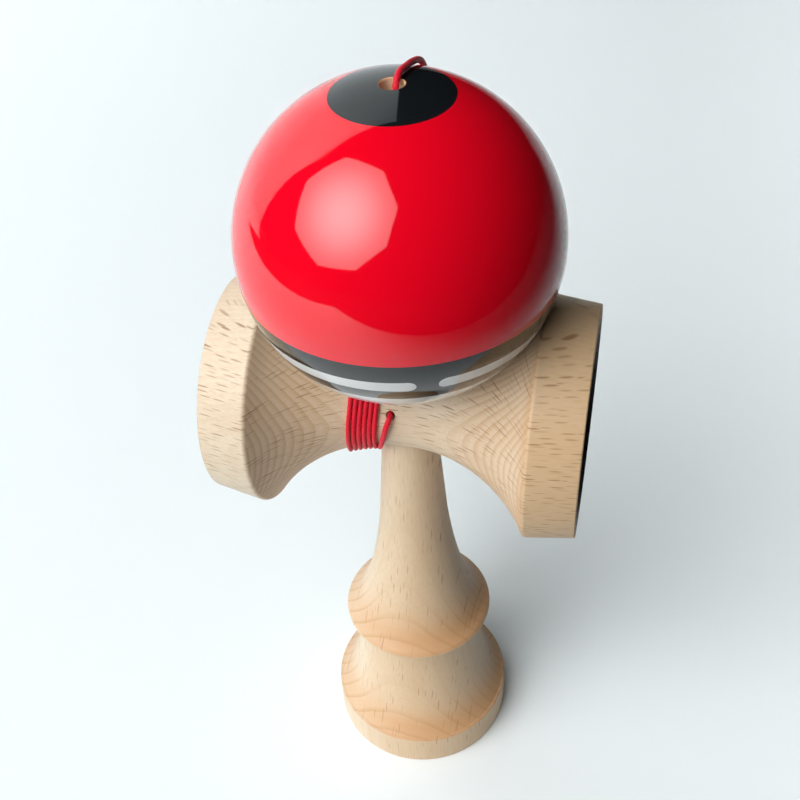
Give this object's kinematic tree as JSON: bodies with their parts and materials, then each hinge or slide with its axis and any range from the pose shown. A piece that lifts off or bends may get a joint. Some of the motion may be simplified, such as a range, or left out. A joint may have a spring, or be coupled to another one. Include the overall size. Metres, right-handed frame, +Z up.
{
  "type": "kendama",
  "caption": "Wooden kendama: lacquered ball on the spike of a turned handle, a cross-piece with cups at its ends, and a string wound round its neck. The ball lifts off and spins.",
  "frame": {"origin": "centre of the base's standing ring, on the table, on the axis of the ken", "axes": "+Z up the ken, +X along the sarado towards its big cup, the string hole of the sarado faces -Y"},
  "size_m": [0.0734, 0.0615, 0.1768],
  "materials": {
    "beech": "turned and sanded, satin",
    "lacquered_beech": "gloss lacquer, red with black and white bands",
    "bead_plastic": "moulded, gloss",
    "string_braid": "braided synthetic string"
  },
  "bodies": {
    "ken": {"ken": "beech", "sarado": "beech", "string_anchor": "string_braid", "ken_knot": "string_braid", "string_winding": "string_braid", "string_run": "string_braid"},
    "bead": {"bead": "bead_plastic", "bead_knot": "string_braid", "string_top": "string_braid"},
    "tama": {"tama": "lacquered_beech"}
  },
  "joints": [
    {"name": "tama_lift", "type": "slide", "parent": "ken", "child": "bead", "axis": [0, 0, 1], "range_m": [0, 0.055], "deforming": ["string_run"]},
    {"name": "tama_spin", "type": "hinge", "parent": "bead", "child": "tama", "pos_m": [0, 0, 0.14545], "axis": [0, 0, 1], "continuous": true}
  ]
}
